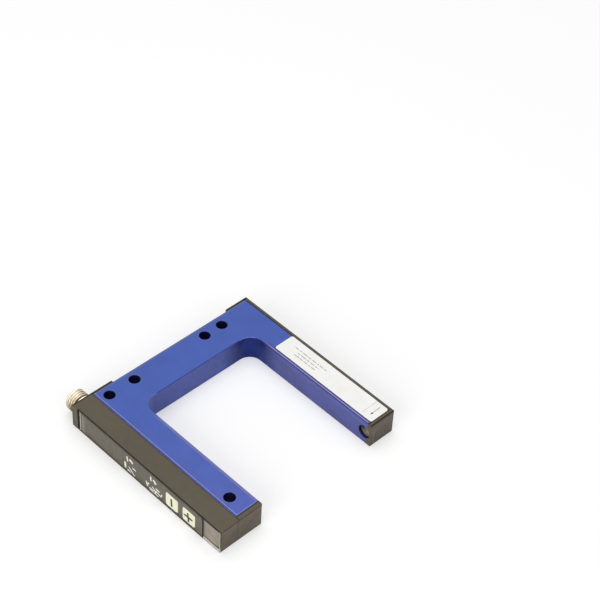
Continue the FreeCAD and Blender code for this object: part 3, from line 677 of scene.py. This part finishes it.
def board_lacquer():
    """Solder lacquer with tracks that show through it."""
    m = Material("circuit_board")
    brick = m.add("ShaderNodeTexBrick")
    brick.inputs["Scale"].default_value = 1 / (1.2 * MM)
    brick.inputs["Mortar Size"].default_value = 0.04
    m.link(m.place, brick.inputs["Vector"])
    ground = m.tones(m.noise(3, 4), (0.012, 0.085, 0.038), (0.018, 0.125, 0.055))
    tracks = m.tones(m.noise(1, 2), (0.03, 0.17, 0.08), (0.04, 0.22, 0.10))
    m.colour(m.mix(brick.outputs["Fac"], ground, tracks))
    m.roughness(m.noise(1.5), 0.3, 0.42)
    m.bump(brick.outputs["Fac"], 0.01)
    return m.material


def label_film():
    m = Material("label_film")
    m.colour(m.tones(m.noise(5, 4), (0.90, 0.895, 0.865), (0.95, 0.945, 0.925)))
    m.roughness(m.noise(1, 4), 0.42, 0.52)
    m.set(Coat_Weight=0.15, Coat_Roughness=0.3)
    m.bump(m.noise(0.25), 0.002)
    return m.material


def key_plastic():
    """Cream plastic with a greenish cast."""
    m = Material("key_plastic")
    m.colour(m.tones(m.noise(2.2, 4), (0.90, 0.905, 0.66), (0.94, 0.935, 0.72)))
    m.roughness(m.noise(0.9), 0.38, 0.5)
    m.set(Subsurface_Weight=0.12, Subsurface_Scale=0.6 * MM, Specular_IOR_Level=0.45)
    m.bump(m.cells(0.1), 0.003)
    return m.material


def ink(name, dark, light):
    m = Material(name)
    m.colour(m.tones(m.noise(0.35), dark, light))
    m.roughness(m.noise(0.5), 0.5, 0.62)
    m.bump(m.noise(0.12, 2), 0.002)
    return m.material


MATERIALS = {
    "blue_metal": blue_metal(),
    "dark_plastic": moulded("dark_plastic", (0.0655, 0.0505, 0.0245), 0.48, extra=housing_edges),
    "panel_plastic": moulded("panel_plastic", (0.097, 0.083, 0.055), 0.42, 0.10, 0.003, panel_bands),
    "seal_rubber": moulded("seal_rubber", (0.014, 0.011, 0.007), 0.7, 0.08, 0.004, seal_tones, specular=0.2),
    "smoke_plastic": clear_plastic(
        "smoke_plastic", (0.262, 0.220, 0.160), (0.345, 0.297, 0.226), 0.28, 0.08, window_tones,
    ),
    "key_plastic": key_plastic(),
    "optic_window": clear_plastic(
        "optic_window", (0.26, 0.22, 0.165), (0.38, 0.33, 0.25), 0.1, 0.2, optic_tones,
    ),
    "lens_glass": clear_plastic("lens_glass", (0.85, 0.88, 0.88), (0.93, 0.95, 0.95), 0.02, 0.95),
    "black_plastic": moulded("black_plastic", (0.030, 0.029, 0.027), 0.5),
    "switch_plastic": moulded("switch_plastic", (0.05, 0.05, 0.055), 0.45),
    "plunger_plastic": moulded("plunger_plastic", (0.52, 0.49, 0.42), 0.45),
    "circuit_board": board_lacquer(),
    "diode_resin": clear_plastic("diode_resin", (0.10, 0.03, 0.07), (0.16, 0.06, 0.11), 0.12, 0.4),
    "lamp_resin": clear_plastic("lamp_resin", (0.72, 0.68, 0.42), (0.84, 0.80, 0.56), 0.2, 0.3),
    "cable_sheath": moulded("cable_sheath", (0.045, 0.045, 0.05), 0.5),
    "nickel_brass": metal("nickel_brass", (0.86, 0.79, 0.64), (0.95, 0.90, 0.78), 0.36, 0.001, thread_tones),
    "contact_metal": metal("contact_metal", (0.70, 0.48, 0.18), (0.83, 0.61, 0.28), 0.2),
    "label_film": label_film(),
}
DARK_INK = ink("dark_ink", (0.030, 0.028, 0.022), (0.070, 0.065, 0.050))
GREY_INK = ink("grey_ink", (0.30, 0.29, 0.26), (0.42, 0.41, 0.37))
KEY_INK = ink("key_ink", (0.032, 0.032, 0.012), (0.060, 0.058, 0.024))
PALE_INK = ink("pale_ink", (0.80, 0.79, 0.70), (0.92, 0.91, 0.83))


def wear(obj, material):
    obj.data.materials.clear()
    obj.data.materials.append(material)


slot_of = {part["node"]: part["material_slot"] for part in frame["record"]["subparts"]}
for name, node in nodes.items():
    wear(node, MATERIALS[slot_of[name]])


# Meshes


def add_piece(name, points, faces, slot, body="sensor", material=None, smooth_angle=35):
    """Makes a piece from points in millimetres, dresses it and lets it ride on a body."""
    mesh = bpy.data.meshes.new(name)
    mesh.from_pydata([Vector(p) * MM for p in points], [], faces)
    mesh.validate()
    mesh.update()
    obj = bpy.data.objects.new(name, mesh)
    bpy.context.scene.collection.objects.link(obj)
    wear(obj, material or MATERIALS[slot])
    mesh.shade_smooth()
    mesh.set_sharp_from_angle(angle=math.radians(smooth_angle))
    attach(obj, body)
    return obj


def rounded_ring(u, v, half_u, half_v, corner, steps=6):
    """Points of a rounded rectangle. A corner as large as both halves makes a circle."""
    points = []
    for quarter in range(4):
        sign_u = (1, -1, -1, 1)[quarter]
        sign_v = (1, 1, -1, -1)[quarter]
        for step in range(steps + 1):
            angle = math.radians(90 * (quarter + step / steps))
            points.append((
                u + sign_u * (half_u - corner) + corner * math.cos(angle),
                v + sign_v * (half_v - corner) + corner * math.sin(angle),
            ))
    return points


def loft(rings, closed=False):
    """Points and faces of a skin through rings of equally many points. A closed loft joins its ends."""
    count = len(rings[0])
    points = [p for ring in rings for p in ring]
    faces = []
    spans = len(rings) if closed else len(rings) - 1
    for i in range(spans):
        here = i * count
        there = ((i + 1) % len(rings)) * count
        for j in range(count):
            k = (j + 1) % count
            faces.append((here + j, here + k, there + k, there + j))
    if not closed:
        faces.append(tuple(reversed(range(count))))
        faces.append(tuple(range((len(rings) - 1) * count, len(rings) * count)))
    return points, faces


def along_y(flat, y):
    """Ring in a plane across Y. The order of the points makes a loft towards lower Y face outward."""
    return [(u, y, v) for u, v in flat]


def along_z(flat, z):
    return [(u, v, z) for u, v in flat]


ROUND_END_STEPS = 6


class Strokes:
    """Flat bars of print that make one piece, raised by a film's thickness."""

    def __init__(self, place):
        self.place = place
        self.points = []
        self.faces = []

    def prism(self, outline, low, high):
        start = len(self.points)
        count = len(outline)
        for level in (low, high):
            self.points += [self.place(u, v, level) for u, v in outline]
        self.faces.append(tuple(start + i for i in reversed(range(count))))
        self.faces.append(tuple(start + count + i for i in range(count)))
        for i in range(count):
            k = (i + 1) % count
            self.faces.append((start + i, start + k, start + count + k, start + count + i))

    def bar(self, first, last, width, low, high):
        """Bar with round ends from the first to the last point."""
        du, dv = last[0] - first[0], last[1] - first[1]
        turn = math.atan2(dv, du)
        outline = []
        for centre, start in ((last, -90), (first, 90)):
            for step in range(ROUND_END_STEPS + 1):
                angle = turn + math.radians(start + 180 * step / ROUND_END_STEPS)
                outline.append((
                    centre[0] + width / 2 * math.cos(angle),
                    centre[1] + width / 2 * math.sin(angle),
                ))
        self.prism(outline, low, high)


def on_front(u, v, level):
    """Place on a front that looks towards lower Y."""
    return u, level, v


def on_top(u, v, level):
    return u, v, level


# Keys. The rings of the hollow are pairs of inset and depth, and the marks have both ends of each stroke,
# measured from the middle of the key.
KEY_FRONT_GAP = 0.03
KEY_CORNER = 0.8
KEY_BEVEL = 0.32
KEY_BEVEL_STEPS = 4
KEY_HOLLOW = ((0.8, 0.015), (1.4, 0.03), (2.0, 0.04))
KEY_HOLLOW_CORNER = 0.5
FLANGE_REACH = 0.4
FLANGE_RISE = 0.25
FLANGE_GAP = 0.05
FLANGE_THICKNESS = 0.5
STEM_RADIUS = 1.1
MARK_WIDTH = 0.8
MARK_DEPTH = 0.2
PRINT_STEP = 0.004
MINUS_MARK = [((-0.1, 1.35), (0.1, -1.55))]
PLUS_MARK = [((-0.35, 1.55), (0.1, -1.75)), ((-1.75, -0.1), (1.65, 0.05))]


def make_key(sign, mark):
    """Key with a softly rounded front, on its flange and stem, and a mark on it."""
    body = sign + "_key"
    low, high = mm_box(sign + "_button")
    x, z = (low.x + high.x) / 2, (low.z + high.z) / 2
    half_u = (high.x - low.x) / 2 - FLANGE_REACH
    half_v = (high.z - low.z) / 2 - FLANGE_RISE
    front = low.y + KEY_FRONT_GAP
    flange_front = PANEL_HIGH.y + FLANGE_GAP
    flange_back = flange_front + FLANGE_THICKNESS
    stem = rounded_ring(x, z, STEM_RADIUS, STEM_RADIUS, STEM_RADIUS)
    flange = rounded_ring(x, z, half_u + FLANGE_REACH, half_v + FLANGE_RISE, KEY_CORNER)
    rings = [along_y(stem, high.y), along_y(stem, flange_back)]
    rings += [along_y(flange, flange_back), along_y(flange, flange_front)]
    rings.append(along_y(rounded_ring(x, z, half_u, half_v, KEY_CORNER), flange_front))
    for step in range(KEY_BEVEL_STEPS + 1):
        angle = math.radians(90 * step / KEY_BEVEL_STEPS)
        inset = KEY_BEVEL * (1 - math.cos(angle))
        y = front + KEY_BEVEL * (1 - math.sin(angle))
        rings.append(along_y(rounded_ring(x, z, half_u - inset, half_v - inset, KEY_CORNER), y))
    for inset, sink in KEY_HOLLOW:
        hollow = rounded_ring(x, z, half_u - inset, half_v - inset, KEY_HOLLOW_CORNER)
        rings.append(along_y(hollow, front + sink))
    points, faces = loft(rings)
    key = add_piece(sign + "_key_cap", points, faces, "key_plastic", body, smooth_angle=50)
    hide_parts(sign + "_button")
    strokes = Strokes(on_front)
    for i, (first, last) in enumerate(mark):
        start, end = ((x + point[0], z + point[1]) for point in (first, last))
        strokes.bar(start, end, MARK_WIDTH, front + MARK_DEPTH, low.y + PRINT_STEP * i)
    add_piece(sign + "_key_mark", strokes.points, strokes.faces, "key_plastic", body, KEY_INK)


make_key("minus", MINUS_MARK)
make_key("plus", PLUS_MARK)


# Connector
THREAD_PITCH = 1.0
THREAD_DEPTH = 0.5
THREAD_SLOPE = 0.36
THREAD_CREST = 0.14
THREAD_STEPS = 96
THREAD_SPACING = 0.0625
THREAD_RUN_OUT = 0.35
END_CHAMFER = 0.62
END_CHAMFER_SLOPE = 1.1
SOCKET_DEPTH = 4.6
SOCKET_RADIUS = 3.15
SOCKET_CHAMFER = 0.15
SOCKET_MOUTH_RADIUS = 3.28
COLLAR_WIDTH = 1.15
CHAMFER_SHORT, CHAMFER_LONG = 0.1, 0.12
UNDERCUT_WIDTH = 0.45
UNDERCUT_DEPTH = 0.55
UNDERCUT_SLOPES = (0.02, 0.05)
GROOVE_OUTER_RADIUS = 3.69
GROOVE_INNER_RADIUS = 2.91
GROOVE_DEPTH = 0.64
NECK_RADIUS = 2.6
NECK_BORE = 2.05


def thread_height(turns):
    """Height of the thread over its root, 0 to 1, for a place counted in turns."""
    part = turns % 1.0
    if part < THREAD_SLOPE:
        return part / THREAD_SLOPE
    if part < THREAD_SLOPE + THREAD_CREST:
        return 1.0
    if part < 2 * THREAD_SLOPE + THREAD_CREST:
        return 1.0 - (part - THREAD_SLOPE - THREAD_CREST) / THREAD_SLOPE
    return 0.0


def shell_ring(x, radius):
    """Ring round the shell's axis. The radius is a number or a function of the angle."""
    y, z = SHELL_PLACE
    points = []
    for step in range(THREAD_STEPS):
        angle = math.tau * step / THREAD_STEPS
        r = radius(angle) if callable(radius) else radius
        points.append((x, y + r * math.cos(angle), z + r * math.sin(angle)))
    return points


def make_connector():
    """Shell with a helical thread, an undercut and a collar, and the solid's socket, neck and groove."""
    end, neck_end = SHELL_LOW.x, SHELL_HIGH.x
    outer = SHELL_RADIUS
    back = HOUSING_LOW.x
    socket_floor = end + SOCKET_DEPTH
    collar = back - COLLAR_WIDTH
    undercut = collar - UNDERCUT_WIDTH
    rings = []

    def add(*profile):
        rings.extend(shell_ring(x, radius) for x, radius in profile)

    add((socket_floor, NECK_BORE), (socket_floor, SOCKET_RADIUS), (end + SOCKET_CHAMFER, SOCKET_RADIUS))
    add((end, SOCKET_MOUTH_RADIUS), (end, outer - END_CHAMFER))
    root = outer - THREAD_DEPTH
    for i in range(1, int((undercut - end) / THREAD_SPACING) + 1):
        x = end + i * THREAD_SPACING
        limit = outer - END_CHAMFER + (x - end) * END_CHAMFER_SLOPE
        run_out = min(1.0, max(0.0, (undercut - x) / THREAD_RUN_OUT))

        def radius(angle, x=x, limit=limit, run_out=run_out):
            lift = THREAD_DEPTH * thread_height((x - end) / THREAD_PITCH - angle / math.tau)
            return min(outer, limit, root + lift * run_out)

        rings.append(shell_ring(x, radius))
    floor_start, floor_end = undercut + UNDERCUT_SLOPES[0], collar - UNDERCUT_SLOPES[1]
    add((floor_start, outer - UNDERCUT_DEPTH), (floor_end, outer - UNDERCUT_DEPTH))
    add((collar, outer - CHAMFER_LONG), (collar + CHAMFER_SHORT, outer))
    add((back - CHAMFER_LONG, outer), (back, outer - CHAMFER_SHORT), (back, GROOVE_OUTER_RADIUS))
    add((back - GROOVE_DEPTH, GROOVE_OUTER_RADIUS), (back - GROOVE_DEPTH, GROOVE_INNER_RADIUS))
    add((back, GROOVE_INNER_RADIUS), (back, NECK_RADIUS), (neck_end, NECK_RADIUS), (neck_end, NECK_BORE))
    points, faces = loft(rings, closed=True)
    shell = add_piece("connector_threaded_shell", points, faces, "nickel_brass", smooth_angle=40)
    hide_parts("connector_shell")


make_connector()


# Label. A row of print has its start and end along X and its Y.
LABEL_CORNER = 0.8
FILM_ROUNDING = 0.02
PRINT_HEIGHT = 0.015
PRINT_SINK = 0.01
ARROW_X = 35.65
ARROW_TAIL, ARROW_NECK, ARROW_BARB, ARROW_TIP = 37.0, 32.9, 33.3, 32.2
ARROW_HALF_WIDTH = 0.42
ARROW_LINE_WIDTH = 0.16
RULE_X = 33.0
RULE_ENDS = (38.1, 30.9)
RULE_WIDTH = 0.1
ROWS = ((-3.8, 11.3, 35.35), (-1.1, 8.8, 33.95), (-1.6, 8.7, 32.6))
ROW_LENGTHS = (1.5, 0.8, 2.1, 1.1, 1.7, 0.6)
ROW_GAP = 0.7
ROW_WIDTH = 0.3


def make_film(film_top):
    """The label's film with round corners and a softly rounded upper edge."""
    low, high = LABEL_LOW, LABEL_HIGH
    u, v = (low.x + high.x) / 2, (low.y + high.y) / 2
    half_u, half_v = (high.x - low.x) / 2, (high.y - low.y) / 2
    outline = rounded_ring(u, v, half_u, half_v, LABEL_CORNER)
    inner = rounded_ring(u, v, half_u - FILM_ROUNDING, half_v - FILM_ROUNDING, LABEL_CORNER)
    rings = [along_z(outline, low.z), along_z(outline, film_top - FILM_ROUNDING), along_z(inner, film_top)]
    points, faces = loft(rings)
    film = add_piece("label_sheet", points, faces, "label_film")
    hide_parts("label")


def make_label():
    """Film, and print on it that is only bars, a thin line and an arrow."""
    top = LABEL_HIGH.z
    film_top = top - PRINT_HEIGHT
    bottom = film_top - PRINT_SINK
    make_film(film_top)
    dark = Strokes(on_top)
    dark.bar((ARROW_X, ARROW_TAIL), (ARROW_X, ARROW_NECK), ARROW_LINE_WIDTH, bottom, top)
    left, right = ((ARROW_X + side * ARROW_HALF_WIDTH, ARROW_BARB) for side in (-1, 1))
    dark.prism([left, (ARROW_X, ARROW_TIP), right], bottom, top)
    grey = Strokes(on_top)
    grey.bar((RULE_X, RULE_ENDS[0]), (RULE_X, RULE_ENDS[1]), RULE_WIDTH, bottom, top)
    for row, (start, end, y) in enumerate(ROWS):
        x = start
        step = row
        while x < end:
            length = ROW_LENGTHS[step % len(ROW_LENGTHS)]
            grey.bar((x, y), (min(x + length, end), y), ROW_WIDTH, bottom, top)
            x += length + ROW_GAP
            step += 1
    add_piece("label_print", dark.points, dark.faces, "label_film", material=DARK_INK)
    add_piece("label_fine_print", grey.points, grey.faces, "label_film", material=GREY_INK)


make_label()


# Legends on the panel: both ends of each stroke, as X and height, and its width.
LEGEND_BARS = [
    ((-5.75, 7.40), (-5.50, 5.85), 0.72),
    ((-4.15, 7.10), (-3.20, 6.70), 1.05),
    ((-6.75, 3.85), (-6.65, 1.95), 0.95),
    ((-4.80, 3.20), (-2.00, 1.05), 0.54),
    ((-2.90, 4.15), (-1.65, 4.10), 0.60),
    ((-5.35, 1.45), (-4.20, 1.15), 0.74),
    ((6.15, 7.60), (6.20, 6.15), 0.72),
    ((7.75, 7.05), (8.40, 6.45), 1.10),
    ((3.95, 3.65), (4.50, 2.15), 0.66),
    ((4.25, 2.40), (5.15, 3.90), 0.46),
    ((5.65, 1.95), (7.35, 2.00), 0.66),
    ((5.80, 1.08), (7.50, 1.08), 0.56),
    ((7.00, 3.35), (7.65, 3.20), 0.52),
    ((8.85, 4.05), (10.20, 3.95), 0.70),
    ((7.85, 2.60), (9.20, 2.60), 0.60),
    ((8.90, 2.90), (8.10, 1.15), 0.54),
    ((9.45, 2.75), (10.90, 2.35), 0.60),
    ((11.65, 3.60), (11.15, 2.20), 0.46),
    ((8.90, 1.30), (9.75, 1.15), 0.66),
]
FIELD_DEPTH = 0.08
LEGEND_SINK = 0.02
LEGEND_HEIGHT = 0.03


def make_legends():
    """Two groups of plain strokes printed in the sunk field of the panel."""
    field = PANEL_LOW.y + FIELD_DEPTH
    strokes = Strokes(on_front)
    for i, (first, last, width) in enumerate(LEGEND_BARS):
        front = field - LEGEND_HEIGHT + PRINT_STEP * (i % 2)
        strokes.bar(first, last, width, field + LEGEND_SINK, front)
    add_piece("panel_legends", strokes.points, strokes.faces, "panel_plastic", material=PALE_INK)


make_legends()


# Floor, light and camera
FLOOR_REACH = 3000.0
FLOOR_DROP = 0.02
FLOOR_GREY = 0.72
FLOOR_GLOW = 0.35
SKY_ON_OBJECT = 0.42
SKY_SEEN = 1.0


def white_to_viewer(tree):
    """1 for camera, gloss and transmission rays, 0 for the light that falls on the object."""
    path = tree.nodes.new("ShaderNodeLightPath")
    total = path.outputs["Is Camera Ray"]
    for name in ("Is Glossy Ray", "Is Transmission Ray"):
        node = tree.nodes.new("ShaderNodeMath")
        node.operation = "MAXIMUM"
        tree.links.new(total, node.inputs[0])
        tree.links.new(path.outputs[name], node.inputs[1])
        total = node.outputs["Value"]
    return total


def floor_material():
    material = bpy.data.materials.new("floor")
    material.use_nodes = True
    tree = material.node_tree
    tree.nodes.clear()
    output = tree.nodes.new("ShaderNodeOutputMaterial")
    diffuse = tree.nodes.new("ShaderNodeBsdfDiffuse")
    glow = tree.nodes.new("ShaderNodeEmission")
    join = tree.nodes.new("ShaderNodeAddShader")
    diffuse.inputs["Color"].default_value = (FLOOR_GREY, FLOOR_GREY, FLOOR_GREY, 1)
    glow.inputs["Color"].default_value = (1, 1, 1, 1)
    scale = tree.nodes.new("ShaderNodeMath")
    scale.operation = "MULTIPLY"
    scale.inputs[1].default_value = FLOOR_GLOW
    tree.links.new(white_to_viewer(tree), scale.inputs[0])
    tree.links.new(scale.outputs["Value"], glow.inputs["Strength"])
    tree.links.new(diffuse.outputs["BSDF"], join.inputs[0])
    tree.links.new(glow.outputs["Emission"], join.inputs[1])
    tree.links.new(join.outputs["Shader"], output.inputs["Surface"])
    return material


def make_floor():
    """Pale floor that keeps the object's shadow and is white to the camera, to gloss and to glass."""
    mesh = bpy.data.meshes.new("floor")
    reach = FLOOR_REACH * MM
    corners = [(-reach, -reach, 0), (reach, -reach, 0), (reach, reach, 0), (-reach, reach, 0)]
    mesh.from_pydata(corners, [], [(0, 1, 2, 3)])
    floor = bpy.data.objects.new("floor", mesh)
    floor.location.z = -FLOOR_DROP * MM
    bpy.context.scene.collection.objects.link(floor)
    mesh.materials.append(floor_material())


def make_world():
    world = bpy.data.worlds.new("studio")
    world.use_nodes = True
    tree = world.node_tree
    background = tree.nodes["Background"]
    background.inputs["Color"].default_value = (1, 1, 1, 1)
    level = tree.nodes.new("ShaderNodeMapRange")
    level.inputs["To Min"].default_value = SKY_ON_OBJECT
    level.inputs["To Max"].default_value = SKY_SEEN
    tree.links.new(white_to_viewer(tree), level.inputs["Value"])
    tree.links.new(level.outputs["Result"], background.inputs["Strength"])
    bpy.context.scene.world = world


# Name, place in metres, edge in metres and power in watts of each square lamp.
LAMPS = (
    ("overhead", (-0.15, 0.1, 1.0), 0.9, 4.2),
    ("front", (0.25, -1.0, 0.45), 0.8, 5.5),
    ("side", (0.95, -0.1, 0.5), 0.7, 1.5),
)


def make_lamp(name, place, size, power):
    """Square soft lamp that is aimed at the object."""
    data = bpy.data.lights.new(name, "AREA")
    data.size = size
    data.energy = power
    lamp = bpy.data.objects.new(name, data)
    lamp.location = place
    lamp.rotation_mode = "QUATERNION"
    lamp.rotation_quaternion = (-Vector(place)).to_track_quat("-Z", "Y")
    bpy.context.scene.collection.objects.link(lamp)


CAMERA_AZIMUTH = 43.4148
CAMERA_ELEVATION = 43.6682
CAMERA_ROLL = 3.7514
CAMERA_AIM = Vector((-23.6726, 56.8795, 5.0)) * MM
CAMERA_DISTANCE = 661.395 * MM
CAMERA_LENS = 109.792
CAMERA_SENSOR = 36.0
CAMERA_CLIP = (0.01, 20.0)


def make_camera():
    azimuth = math.radians(CAMERA_AZIMUTH)
    elevation = math.radians(CAMERA_ELEVATION)
    roll = math.radians(CAMERA_ROLL)
    flat = math.cos(elevation)
    forward = Vector((-math.sin(azimuth) * flat, math.cos(azimuth) * flat, -math.sin(elevation)))
    level = Vector((math.cos(azimuth), math.sin(azimuth), 0))
    upright = level.cross(forward)
    right = level * math.cos(roll) + upright * math.sin(roll)
    up = upright * math.cos(roll) - level * math.sin(roll)
    data = bpy.data.cameras.new("camera")
    data.lens = CAMERA_LENS
    data.sensor_width = CAMERA_SENSOR
    data.clip_start, data.clip_end = CAMERA_CLIP
    camera = bpy.data.objects.new("camera", data)
    turn = Matrix((right, up, -forward)).transposed().to_4x4()
    camera.matrix_world = Matrix.Translation(CAMERA_AIM - forward * CAMERA_DISTANCE) @ turn
    bpy.context.scene.collection.objects.link(camera)
    bpy.context.scene.camera = camera


make_floor()
make_world()
for lamp in LAMPS:
    make_lamp(*lamp)
make_camera()
bpy.context.scene.view_settings.view_transform = "Standard"
